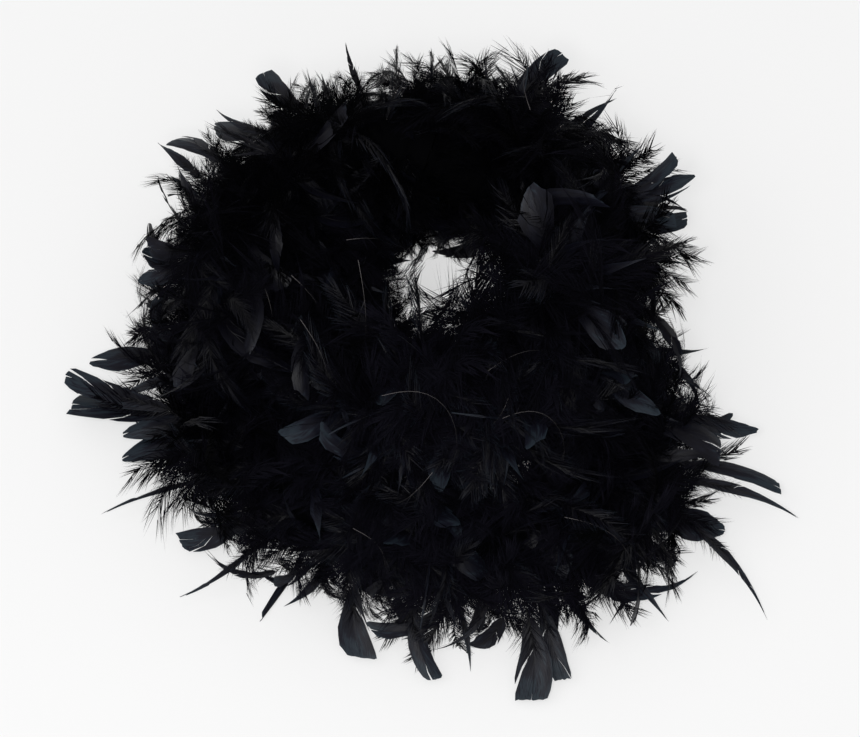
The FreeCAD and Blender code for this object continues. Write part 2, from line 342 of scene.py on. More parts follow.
def vaneMaterial():
    material, tree, shader = newMaterial("flatVane", vaneLook["roughness"], vaneLook["gloss"])
    mapping, across, along = featherMap(tree)
    side = mathNode(tree, "ABSOLUTE", mathNode(tree, "SUBTRACT", across, vaneLook["middleLine"]), 0)
    slant = mathNode(tree, "SUBTRACT", along, mathNode(tree, "MULTIPLY", side, 0.5))
    barbLine = tree.nodes.new("ShaderNodeCombineXYZ")
    tree.links.new(mathNode(tree, "MULTIPLY", slant, vaneLook["streaks"]), barbLine.inputs["X"])
    tree.links.new(mathNode(tree, "MULTIPLY", across, 5.0), barbLine.inputs["Y"])
    streaks = tree.nodes.new("ShaderNodeTexNoise")
    streaks.inputs["Scale"].default_value = 1
    streaks.inputs["Detail"].default_value = 3
    tree.links.new(barbLine.outputs["Vector"], streaks.inputs["Vector"])
    patches = tree.nodes.new("ShaderNodeTexNoise")
    patches.inputs["Scale"].default_value = 5
    tree.links.new(mapping, patches.inputs["Vector"])
    uneven = mathNode(tree, "ADD", streaks.outputs["Fac"], patches.outputs["Fac"])
    uneven = mathNode(tree, "MULTIPLY", mathNode(tree, "SUBTRACT", uneven, 1.0), vaneLook["unevenness"])
    edge = mathNode(tree, "POWER", mathNode(tree, "MULTIPLY", side, 2.4), 6)
    paintedEdgeLight = mathNode(tree, "MULTIPLY", edge, 0.25)      # painted light: barbs at the vane's edge are thinner and painted paler, as a highlight where they catch and pass light
    factor = mathNode(tree, "ADD", mathNode(tree, "ADD", along, uneven), paintedEdgeLight)
    # the ramp paints shade at the roots and light at the thin tips
    stops = ((0.0, "root"), (0.45, "middle"), (0.85, "tip"), (1.0, "thinTip"))
    colour = rampNode(tree, factor, [(place, vaneLook[name]) for place, name in stops])
    quill = rampNode(tree, along, ((0.05, vaneLook["quillRoot"]), (0.35, vaneLook["quillTip"])))
    mix = tree.nodes.new("ShaderNodeMix")
    mix.data_type = "RGBA"
    tree.links.new(mathNode(tree, "GREATER_THAN", across, vaneLook["quillStrip"]), mix.inputs["Factor"])
    tree.links.new(colour, mix.inputs["A"])
    tree.links.new(quill, mix.inputs["B"])
    tree.links.new(mix.outputs["Result"], shader.inputs["Base Color"])
    bump = tree.nodes.new("ShaderNodeBump")
    bump.inputs["Strength"].default_value = 0.5
    bump.inputs["Distance"].default_value = 0.0004
    tree.links.new(streaks.outputs["Fac"], bump.inputs["Height"])
    tree.links.new(bump.outputs["Normal"], shader.inputs["Normal"])
    return material


downLook = {
    # painted shade at the buried roots and painted light at the barb tips
    "root": (0.0005, 0.0005, 0.0008),
    "tip": (0.0056, 0.0053, 0.0090),
    "roughness": 0.8,
    "gloss": 0.02,
    "darkening": 0.95,         # painted shade: the higher, the more of each barb keeps the root's dark colour
}


def downMaterial():
    material, tree, shader = newMaterial("softDown", downLook["roughness"], downLook["gloss"])
    mapping, across, along = featherMap(tree)
    patches = tree.nodes.new("ShaderNodeTexNoise")
    patches.inputs["Scale"].default_value = 6
    tree.links.new(mapping, patches.inputs["Vector"])
    shade = mathNode(tree, "ADD", across, patches.outputs["Fac"])
    tone = mathNode(tree, "SUBTRACT", shade, downLook["darkening"])
    # the root end of the ramp is painted shade, the tip end painted light
    factor = mathNode(tree, "ADD", along, tone)
    colour = rampNode(tree, factor, ((0.1, downLook["root"]), (1.0, downLook["tip"])))
    tree.links.new(colour, shader.inputs["Base Color"])
    return material


cordLook = {
    "core": (0.014, 0.014, 0.016),
    "thread": (0.010, 0.010, 0.012),
    "loop": (0.020, 0.020, 0.023),
    "hollow": 0.5,             # how dark the twist's grooves are painted as shade and how light its crests as painted highlight
    "crest": 1.6,
}


def cordMaterial(name, colour, twist):
    material, tree, shader = newMaterial(name, 0.8, 0.2)
    coords = tree.nodes.new("ShaderNodeTexCoord")
    wave = tree.nodes.new("ShaderNodeTexWave")
    wave.inputs["Scale"].default_value = twist
    wave.inputs["Distortion"].default_value = 2.5
    wave.inputs["Detail"].default_value = 2
    tree.links.new(coords.outputs["Object"], wave.inputs["Vector"])
    # painted shade in the grooves and painted highlight on the crests of the twist
    dark, light = (tuple(c * cordLook[end] for c in colour) for end in ("hollow", "crest"))
    twisted = rampNode(tree, wave.outputs["Fac"], ((0.0, dark), (1.0, light)))
    tree.links.new(twisted, shader.inputs["Base Color"])
    bump = tree.nodes.new("ShaderNodeBump")
    bump.inputs["Strength"].default_value = 0.6
    bump.inputs["Distance"].default_value = 0.0004
    tree.links.new(wave.outputs["Fac"], bump.inputs["Height"])
    tree.links.new(bump.outputs["Normal"], shader.inputs["Normal"])
    return material


vanePaint = vaneMaterial()
downPaint = downMaterial()
coreCordPaint = cordMaterial("coreCordTwist", cordLook["core"], 260)
threadPaint = cordMaterial("whippingThread", cordLook["thread"], 520)
loopPaint = cordMaterial("loopCordTwist", cordLook["loop"], 400)
print("materials ready")

# Core cord: two plies twisted round the route
cordSpec = {
    "radius": 0.0025,
    "plyRadius": 0.00135,
    "plyPitch": 0.016,
    "endOverhang": 0.024,      # how far the cord runs past the feathers, to its knot
    "step": 0.002,
}
bodySections = {
    "low_tail": (1, 1), "coil": (2, 13), "top_strand": (14, 14),
    "top_link": (15, 15), "top_tail": (16, 16),
}
sectionBody = {n: body for body, (a, b) in bodySections.items() for n in range(a, b + 1)}


def splineThrough(name, points, bevel=0.0):
    curve = bpy.data.curves.new(name, "CURVE")
    curve.dimensions = "3D"
    curve.resolution_u = 10
    curve.bevel_depth = bevel
    curve.bevel_resolution = 2
    spline = curve.splines.new("NURBS")
    spline.points.add(len(points) - 1)
    for point, place in zip(spline.points, points):
        point.co = (*place, 1)
    spline.order_u = 3
    spline.use_endpoint_u = True
    line = bpy.data.objects.new(name, curve)
    scene.collection.objects.link(line)
    return line


def readLine(line):
    bpy.context.view_layer.update()
    mesh = bpy.data.meshes.new_from_object(line)
    points = [v.co.copy() for v in mesh.vertices]
    bpy.data.meshes.remove(mesh)
    bpy.data.objects.remove(line)
    return points


def cordPath(body):
    first, last = bodySections[body]
    path = [middle(2 * first - 2)] + routePoints[2 * first - 1:2 * last + 1] + [middle(2 * last)]
    if body == "low_tail":
        path[0] = path[0] - (routePoints[1] - routePoints[0]).normalized() * cordSpec["endOverhang"]
    if body == "top_tail":
        path[-1] = path[-1] + (routePoints[-1] - routePoints[-2]).normalized() * cordSpec["endOverhang"]
    return path


def pathLength(points):
    return sum((b - a).length for a, b in zip(points, points[1:]))


def tangentAt(points, i):
    return (points[min(i + 1, len(points) - 1)] - points[max(i - 1, 0)]).normalized()


def resample(points, step):
    out, carried = [points[0]], 0.0
    for a, b in zip(points, points[1:]):
        run = (b - a).length
        while carried + run >= step:
            a = a.lerp(b, (step - carried) / run)
            run = (b - a).length
            carried = 0.0
            out.append(a)
        carried += run
    return out + [points[-1]]


def joinPieces(name, pieces):
    bpy.ops.object.select_all(action="DESELECT")
    for piece in pieces:
        piece.select_set(True)
    pieces[0].data = pieces[0].data.copy()
    bpy.context.view_layer.objects.active = pieces[0]
    bpy.ops.object.join()
    whole = pieces[0]
    whole.name = name
    whole.data.name = name
    whole.data.transform(whole.matrix_world)
    whole.matrix_world = Matrix.Identity(4)
    whole.select_set(False)
    return whole


def makeCoreCord(body):
    path = readLine(splineThrough("route_" + body, cordPath(body)))
    fine = resample(path, cordSpec["step"])
    offset = cordSpec["radius"] - cordSpec["plyRadius"]
    plies = []
    for ply in range(2):
        turned = []
        for i, place in enumerate(fine):
            along = tangentAt(fine, i)
            side = along.cross(Vector((0, 0, 1))).normalized()
            rise = side.cross(along)
            turn = 2 * math.pi * (i * cordSpec["step"] / cordSpec["plyPitch"] + ply / 2)
            turned.append(place + (side * math.cos(turn) + rise * math.sin(turn)) * offset)
        line = splineThrough("ply%d_%s" % (ply, body), turned, cordSpec["plyRadius"])
        line.data.resolution_u = 1
        line.data.use_fill_caps = True
        bpy.context.view_layer.update()
        mesh = bpy.data.meshes.new_from_object(line)
        bpy.data.objects.remove(line)
        piece = bpy.data.objects.new("ply", mesh)
        scene.collection.objects.link(piece)
        plies.append(piece)
    cord = joinPieces("coreCord_" + body, plies)
    cord.data.materials.clear()
    cord.data.materials.append(coreCordPaint)
    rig.ride(cord, body)
    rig.replaces(cord, "core_cord_" + body)
    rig.slot(cord, "core_cord")
    if body == "low_tail":     # it leaves the coil at its last point
        fine = fine[::-1]
    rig.cord(cord, exit=fine[0], length=pathLength(path), diameter=2 * cordSpec["radius"],
            far_end="knot" if body in ("low_tail", "top_tail") else "object",
            stiffness="limp", lay="coiled", path=fine)


for body in bodySections:
    makeCoreCord(body)
print("core cord ready")

for node, paint in (("low_whipping", threadPaint), ("top_whipping", threadPaint),
                    ("low_knot", coreCordPaint), ("top_knot", coreCordPaint),
                    ("low_hanging_loop", loopPaint), ("top_hanging_loop", loopPaint)):
    mesh = frame["nodes"][node].data
    mesh.materials.clear()
    mesh.materials.append(paint)


# Feather templates: the shaft runs along +Y from the origin, the upper side faces +Z
def halfWidth(tip, share, half):
    if tip == "square":
        return half * (0.66 + 0.34 * smooth(share, 0.2, 0.6)) * (1 - 0.10 * smooth(share, 0.9, 1.0))
    if tip == "round":
        roundOff = math.sqrt(max(0.0, 1 - smooth(share, 0.66, 1.03) ** 2))
        return half * (0.62 + 0.38 * smooth(share, 0.2, 0.55)) * roundOff
    return half * (0.70 + 0.30 * smooth(share, 0.15, 0.42)) * (1 - smooth(share, 0.40, 1.02)) ** 0.8


def barbReach(spec, start, lean):
    # how far a barb runs from the shaft to the feather's outline
    length, half = spec["length"], spec["width"] / 2
    reach = 0.0
    for _ in range(90):
        reach += half / 16
        ahead = start + reach * math.cos(lean)
        if ahead > length or reach * math.sin(lean) > halfWidth(spec["tip"], ahead / length, half):
            break
    return reach


def bendFeather(spec, place):
    # twist about the shaft, cup the vane, droop towards -Z and sweep sideways
    share = place.y / spec["length"]
    flat = Matrix.Rotation(spec["twist"] * share, 3, "Y") @ Vector((place.x, 0, place.z))
    across, lift = flat.x, flat.z - spec["cup"] * place.x * place.x / spec["width"]
    angle = spec["droop"] * share
    radius = spec["length"] / spec["droop"]
    along = (radius + lift) * math.sin(angle)
    lift = (radius + lift) * math.cos(angle) - radius
    sweep = spec["sickle"] * share * share
    return Vector((across * math.cos(sweep) + along * math.sin(sweep),
                   along * math.cos(sweep) - across * math.sin(sweep), lift))


def addStrip(bm, uvLayer, shape, rows, mapOf, columns=1):
    # one grid, each of its vertices moved to where shape(across, along) says
    made = bmesh.ops.create_grid(bm, x_segments=columns, y_segments=rows, size=1)["verts"]
    spots = {vertex: ((vertex.co.x + 1) / 2, (vertex.co.y + 1) / 2) for vertex in made}
    for vertex, (across, along) in spots.items():
        vertex.co = shape(across, along)
    for face in {f for v in made for f in v.link_faces}:
        face.smooth = True
        for loop in face.loops:
            loop[uvLayer].uv = mapOf(*spots[loop.vert])


def addVane(bm, uvLayer, spec, dice):
    # each side of the shaft is one closed sheet of barbs, split into patches where the vane has parted
    length, rows = spec["length"], spec["rows"]
    if not rows:
        return
    first, last = spec["vaneFrom"] * length, spec["vaneTo"] * length
    for side in (-1, 1):
        marks = sorted(dice.sample(range(2, rows - 1), dice.choice(spec["splits"])))
        ragged = [dice.uniform(0.95, 1.02) for _ in range(rows + 1)]
        for low, high in zip([0] + marks, marks + [rows]):
            splay = dice.uniform(-0.16, 0.10) if low else 0.0
            lift = dice.uniform(-1, 1) * spec["ruffle"]

            def shape(across, along):
                row = low + (high - low) * across
                start = first + (last - first) * row / rows
                lean = math.radians(spec["lean"]) * (1 - 0.92 * (row / rows) ** 2) + splay
                reach = barbReach(spec, start, lean) * ragged[round(row)] * along
                reach *= 0.45 + 0.55 * smooth(row / rows, 0, 0.35)
                angle = lean + 0.35 * (1 - along) * min(1.0, 2 - 2 * row / rows)
                return bendFeather(spec, Vector((
                    side * math.sin(angle) * reach, start + math.cos(angle) * reach, lift * along)))

            def mapOf(across, along):
                row = low + (high - low) * across
                reachedTo = (first + (last - first) * row / rows) / length + 0.10 * along
                return 0.45 + side * along * 0.42, min(1.0, reachedTo) * spec["fade"]

            addStrip(bm, uvLayer, shape, 2, mapOf, high - low)


def addHair(bm, uvLayer, corners, spots):
    # one fine barb: a triangle that runs out to a point
    made = bmesh.ops.create_circle(bm, cap_ends=True, segments=3, radius=1)["verts"]
    for vertex, corner in zip(made, corners):
        vertex.co = corner
    for loop in made[0].link_faces[0].loops:
        loop[uvLayer].uv = spots[made.index(loop.vert)]


def addDownBarbs(bm, uvLayer, spec, dice):
    # fine barbs lie side by side, lean more towards the tip and bend with their neighbours
    length, count = spec["length"], spec["downBarbs"]
    for k in range(2 * count):
        side = 1 if k % 2 else -1
        share = spec["downFrom"] + (spec["downTo"] - spec["downFrom"]) * (k / 2 + dice.random()) / count
        way = (share - spec["downFrom"]) / (spec["downTo"] - spec["downFrom"])
        fullness = 0.50 + 0.50 * math.sin(math.pi * (0.1 + 0.8 * way))
        reach = spec["downReach"] * dice.uniform(0.75, 1.1) * fullness
        lean = math.radians(spec["downLean"] * (1.15 - 0.55 * way) + dice.gauss(0, spec["mess"]))
        rise = reach * (0.15 * math.sin(9 * way + side) + dice.gauss(0, 0.012 * spec["mess"]))
        girth = spec["barbWidth"] * dice.uniform(0.7, 1.3) / 2
        foot = Vector((0, length * share, 0))
        across = Vector((side * math.cos(lean), -math.sin(lean), dice.uniform(-1, 1))) * girth
        end = foot + Vector((side * math.sin(lean) * reach, math.cos(lean) * reach, rise))
        if dice.random() < spec["bent"]:
            # a long barb turns towards the tip halfway
            knee = foot.lerp(end, 0.5) + Vector((side * 0.12 * reach, -0.06 * reach, rise * 0.3))
            corners = [bendFeather(spec, c) for c in (foot - across, foot + across, knee)]
            tone = spec["tone"]
            addHair(bm, uvLayer, corners, ((tone, 0.05), (tone, 0.05), (tone, 0.5)))
            foot = foot.lerp(knee, 0.75)
        corners = [bendFeather(spec, c) for c in (foot - across, foot + across, end)]
        tone = spec["tone"]
        addHair(bm, uvLayer, corners, ((tone, 0.05), (tone + 0.02, 0.05), (tone, 0.95)))


def addQuill(bm, uvLayer, spec):
    sides, end = spec["quillSides"], spec["vaneTo"] * spec["length"]

    def mapOf(across, along):
        return 0.97, along * spec["quillFade"]

    for part in range(sides):
        def shape(across, along):
            turn = 2 * math.pi * (part + across) / max(sides, 2)
            thick = spec["quill"] * (1 - 0.8 * along)
            ring = Vector((math.cos(turn) * thick, along * end, math.sin(turn) * thick))
            return bendFeather(spec, ring)

        addStrip(bm, uvLayer, shape, spec["quillRows"], mapOf)


def makeFeather(name, spec):
    dice = random.Random(name)
    bm = bmesh.new()
    uvLayer = bm.loops.layers.uv.new("OFBake")
    addVane(bm, uvLayer, spec, dice)
    addDownBarbs(bm, uvLayer, spec, dice)
    addQuill(bm, uvLayer, spec)
    mesh = bpy.data.meshes.new(name)
    bm.to_mesh(mesh)
    bm.free()
    return mesh


def featherSpec(tip, length, width, **changes):
    spec = {
        "tip": tip, "length": length, "width": width, "vaneFrom": 0.46, "vaneTo": 0.96, "rows": 9,
        "lean": 36, "splits": (0, 1, 1, 2, 3), "ruffle": 0.0012, "cup": 0.35, "droop": 0.5, "sickle": 0.1,
        "twist": 0.1, "downFrom": 0.06, "downTo": 0.62, "downBarbs": 34, "downReach": 0.026,
        "downLean": 44, "mess": 9, "tone": 0.4, "bent": 0.0, "barbWidth": 0.0007, "quill": 0.0006,
        "quillSides": 3, "quillRows": 5, "fade": 0.82, "quillFade": 1.0,
    }
    spec.update(changes)
    return spec


templateSizes = {
    "flatWidths": {"square": 0.031, "round": 0.031, "point": 0.024, "slim": 0.012},
    "flatLength": 0.120,
    "looseLength": 0.110,
    "downLength": 0.085,
    "flatVariants": 7,
    "downVariants": 14,
}


def makeTemplates():
    # a few feathers of each kind, from dark to light, each bent its own way
    dice = random.Random(3)
    flats = {}
    for tip, width in templateSizes["flatWidths"].items():
        flats[tip] = [makeFeather("flat_%s_%d" % (tip, k), featherSpec(
            "point" if tip == "slim" else tip, templateSizes["flatLength"],
            width * dice.uniform(0.8, 1.2),
            droop=dice.uniform(0.6, 2.1), sickle=dice.uniform(-1.0, 1.0), twist=dice.uniform(-0.7, 0.7),
            fade=0.50 + 0.065 * k,
        )) for k in range(templateSizes["flatVariants"])]
    flats["hook"] = [makeFeather("flat_hook_%d" % k, featherSpec(
        "point", templateSizes["looseLength"], 0.018, droop=2.4 + 0.5 * k, sickle=0.7 * (k - 1)))
        for k in range(3)]
    flats["loose"] = [makeFeather("flat_loose_%d" % k, featherSpec(
        "point", templateSizes["looseLength"], 0.020, rows=0,
        downFrom=0.15, downTo=0.99, downBarbs=85, mess=4,
        downLean=24 + 2 * k, downReach=0.028, barbWidth=0.0010, bent=0.3, tone=0.25 + 0.09 * k,
        droop=dice.uniform(0.5, 2.2), sickle=dice.uniform(-1.2, 1.2), twist=dice.uniform(-0.5, 0.5),
    )) for k in range(templateSizes["flatVariants"])]
    flats["bare"] = [bareQuill("flat_bare_%d" % k, templateSizes["looseLength"], 1.2, 0.9 * (k - 1))
                     for k in range(3)]
    down = [makeFeather("down_%d" % k, featherSpec(
        "point", templateSizes["downLength"], 0.012, rows=0, vaneTo=0.96,
        downFrom=0.10, downTo=0.98, downBarbs=80, bent=0.4,
        downReach=dice.uniform(0.020, 0.032), downLean=dice.uniform(24, 44), mess=dice.uniform(4, 9),
        droop=dice.uniform(0.3, 2.2), sickle=dice.uniform(-1.3, 1.3), twist=dice.uniform(-0.9, 0.9),
        tone=0.05 + 0.07 * k, barbWidth=0.0006, quill=0.0004, quillSides=1,
    )) for k in range(templateSizes["downVariants"])]
    return flats, down


def bareQuill(name, length, droop, sickle):
    # a shaft that has lost its barbs, paler than the dyed vanes
    return makeFeather(name, featherSpec(
        "point", length, 0.004, rows=0, downBarbs=1, droop=droop, sickle=sickle,
        quill=0.0002, quillRows=12, quillFade=0.3))


flatTemplates, downTemplates = makeTemplates()
print("feather templates ready")

# Sections of the boa: loose down and flat feathers along each stretch of the cord
fluff = {
    "downCount": 330,
    "flatCount": 125,
    "downSize": (0.70, 1.04),
    "flatSize": (0.60, 0.90),
    "lowCoreRadius": 0.036,
    "topCoreRadius": 0.032,
    "topLimit": 0.240,         # nothing stands higher than this
    "middle": Vector((-0.006, 0.048, 0.0)),
    "taper": 14,               # steps of the fine path over which the boa thins to its end
    "pathStep": 0.004,
    "settleDepth": 0.016,      # below this height feathers are pressed flat by the table
    "floorGap": 0.0006,
    "brushDepth": 0.03,        # and this close to the top they are brushed over
}
# How many of each kind of flat feather there are among every fifty-six
flatMix = {"square": 4, "round": 4, "point": 7, "slim": 8, "hook": 2, "loose": 30, "bare": 1}
flatKinds = [kind for kind, count in flatMix.items() for _ in range(count)]
# Section by section: how far feathers stand out of the coil and into it, and which way they are combed
sectionLie = [
    (1.20, 1.00, (-0.5, -1.0, 0)), (1.50, 1.15, (-1.0, 0.45, 0)),
    (0.82, 1.25, (0, 0.1, 0)), (1.75, 1.25, (1.0, -0.2, 0)),
    (1.12, 1.15, (0.5, -1.3, 0)), (1.00, 0.90, (0.3, 0.2, 0)),
    (0.62, 0.80, (0, -0.5, 0)), (0.80, 0.75, (0, -0.1, 0)),
    (0.90, 0.80, (0, 0, 0)), (1.10, 1.20, (0, 0, 0)),
    (1.15, 1.35, (0, 0, 0)), (1.10, 1.30, (0, 0, 0)),
    (1.50, 1.15, (0.6, 0.2, 0)), (1.60, 0.95, (0.15, 0.8, 0.1)),
    (0.60, 0.85, (-0.6, -0.4, 0)), (0.78, 1.00, (0.2, -0.2, 0)),
]
# The open middle of the coil leans back a little
hole = {
    "foot": Vector((0.004, 0.056, 0)),
    "lean": Vector((0, -0.4667, 1.0)),
    "radius": 0.0158,
    "featherReach": 1.15,      # a feather whose shaft comes nearer than this many radii is left out
    "clear": 0.85,             # barbs that still cross are cut off inside this many radii
}

finePath = {}
for section in range(1, sectionCount + 1):
    run = 2 * section - 2
    points = [middle(run), routePoints[run + 1], routePoints[run + 2], middle(run + 2)]
    finePath[section] = resample(readLine(splineThrough("section", points)), fluff["pathStep"])


def stepsFromEnd(section, i):
    # how near a point of the path is to a free end of the boa, and which way that end faces
    if section == 1 and i < fluff["taper"]:
        return i, -1
    left = len(finePath[section]) - 1 - i
    if section == sectionCount and left < fluff["taper"]:
        return left, 1
    return fluff["taper"], 0


def featherMatrix(root, along, upSide, size=1.0, widen=1.0):
    y = along.normalized()
    x = y.cross(upSide)
    if x.length < 1e-4:
        x = y.cross(Vector((0.3, 0.7, 0.2)))
    x.normalize()
    turn = Matrix((x, y, x.cross(y))).transposed().to_4x4()
    return Matrix.Translation(root) @ turn @ Matrix.Diagonal((size * widen, size, size, 1))


def placeCopy(mesh, matrix):
    copy = bpy.data.objects.new("featherCopy", mesh)
    copy.matrix_world = matrix
    scene.collection.objects.link(copy)
    return copy


def featherLie(dice, section, place, tangent, slope):
    # which way a feather leaves the cord: seldom at the table, and much as its neighbours do
    side = tangent.cross(Vector((0, 0, 1))).normalized()
    rise = side.cross(tangent).normalized()
    turn = dice.uniform(0, 2 * math.pi)
    while math.sin(turn) < -0.5 and dice.random() < 0.7:
        turn = dice.uniform(0, 2 * math.pi)
    out = side * math.cos(turn) + rise * math.sin(turn)
    drift = noise.noise_vector((place + out * 0.05) * 13.0) * 0.9 + Vector(sectionLie[section - 1][2])
    return (out + tangent * dice.uniform(-slope, slope) + drift).normalized(), out


def reachOf(section, share, place, out):
    # tufts: neighbouring feathers are long or short together
    size = 0.95 + 0.30 * noise.noise((place + out * 0.05) * 17.0)
    own = sectionLie[section - 1]
    near = sectionLie[min(sectionCount - 1, max(0, section - 1 + (1 if share > 0.5 else -1)))]
    blend = abs(share - 0.5)
    outward, inward = (own[k] * (1 - blend) + near[k] * blend for k in (0, 1))
    away = place - fluff["middle"]
    away.z = 0
    facing = out.dot(away.normalized())
    return size * (1 + (outward - 1) * max(0.0, facing) + (inward - 1) * max(0.0, -facing))


def crossesHole(matrix, length):
    for share in (0.4, 0.6, 0.8, 1.0):
        place = matrix @ Vector((0, length * share, 0))
        axis = hole["foot"] + coil["boxShift"] + hole["lean"] * place.z
        if (place - axis).to_2d().length < hole["featherReach"] * hole["radius"]:
            return True
    return False


def pickByToneAndFrontLight(dice, templates, place):
    # light and dark feathers lie in patches of random tone, and lighter copies are picked towards the front as painted
    # light
    # the pull towards lighter copies at the front, where y is low, is painted light
    tone = 0.5 + 0.9 * noise.noise(place * 15.0) - 2.2 * (place.y - 0.05) + dice.uniform(-0.2, 0.2)
    return templates[min(len(templates) - 1, max(0, int(tone * len(templates))))]


def settle(piece):
    # the table presses feathers flat, the coil's middle stays open, and the top is brushed down
    mesh = piece.data
    co = np.empty(len(mesh.vertices) * 3, np.float32)
    mesh.vertices.foreach_get("co", co)
    co = co.reshape(-1, 3)
    soft, gap, brush = fluff["settleDepth"], fluff["floorGap"], fluff["brushDepth"]
    low = co[:, 2] < soft
    co[low, 2] = gap + (soft - gap) * np.exp((co[low, 2] - soft) / soft)
    top = fluff["topLimit"] - brush
    high = co[:, 2] > top
    co[high, 2] = top + brush * (1 - np.exp((top - co[high, 2]) / brush))
    foot = hole["foot"] + coil["boxShift"]
    axis = np.stack([foot.x + hole["lean"].x * co[:, 2], foot.y + hole["lean"].y * co[:, 2]], 1)
    away = co[:, :2] - axis
    reach = np.linalg.norm(away, axis=1)
    wide = hole["radius"] * (1 + 0.25 * np.sin(3 * np.arctan2(away[:, 1], away[:, 0]) + 40 * co[:, 2]))
    inside = reach < 1.6 * wide
    push = (wide * 0.75 + 0.53 * reach)[inside] / np.maximum(reach[inside], 1e-4)
    co[inside, :2] = axis[inside] + away[inside] * np.maximum(push, 1.0)[:, None]
    mesh.vertices.foreach_set("co", co.ravel())
    bm = bmesh.new()
    bm.from_mesh(mesh)
    clear = hole["clear"] * hole["radius"]
    crossing = []
    for face in bm.faces:
        centre = face.calc_center_median()
        if (centre - foot - hole["lean"] * centre.z).to_2d().length < clear:
            crossing.append(face)
    bmesh.ops.delete(bm, geom=crossing, context="FACES")
    bm.to_mesh(mesh)
    bm.free()


def makePackedCore(section):
    # the mass of down nearest the cord, too dense to see into
    dice = random.Random(section)
    radius = fluff["lowCoreRadius" if section < 8 else "topCoreRadius"]
    line = splineThrough("core", finePath[section], radius)
    for i, point in enumerate(line.data.splines[0].points):
        inside = stepsFromEnd(section, i)[0] / fluff["taper"]
        point.radius = 0.15 + 0.85 * math.sin(0.5 * math.pi * inside)
    line.data.resolution_u = 1
    line.data.bevel_resolution = 6
    line.data.use_fill_caps = True
    bpy.context.view_layer.update()
    mesh = bpy.data.meshes.new_from_object(line)
    bpy.data.objects.remove(line)
    for vertex in mesh.vertices:
        vertex.co += vertex.normal * dice.uniform(-0.004, 0.003)
    # the core takes the down's darkest root colour, the painted shade of the buried mass
    layer = mesh.uv_layers.new(name="OFBake")
    for loop in layer.data:
        loop.uv = (0.5, 0.02)
    mesh.materials.clear()
    core = bpy.data.objects.new("packedCore", mesh)
    scene.collection.objects.link(core)
    return core


def finishPiece(piece, paint, body, node, slot):
    piece.data.materials.clear()
    piece.data.materials.append(paint)
    settle(piece)
    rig.ride(piece, body)
    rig.replaces(piece, node)
    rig.slot(piece, slot)


def makeDown(section, dice):
    path = finePath[section]
    down = [makePackedCore(section)]
    for _ in range(fluff["downCount"]):
        i = dice.randrange(len(path))
        along, out = featherLie(dice, section, path[i], tangentAt(path, i), 0.8)
        along = (along + tangentAt(path, i) * stepsFromEnd(section, i)[1] * 0.9).normalized()
        root = path[i] + out * dice.uniform(0.004, 0.018)
        upSide = out + Vector([dice.uniform(-1, 1) for _ in range(3)])
        size = dice.uniform(*fluff["downSize"]) * reachOf(section, i / len(path), path[i], out)
        matrix = featherMatrix(root, along, upSide, size)
        if not crossesHole(matrix, templateSizes["downLength"]):
            down.append(placeCopy(pickByToneAndFrontLight(dice, downTemplates, root), matrix))
    piece = joinPieces("down_%02d" % section, down)
    finishPiece(piece, downPaint, sectionBody[section], "plume_%02d" % section, "down")


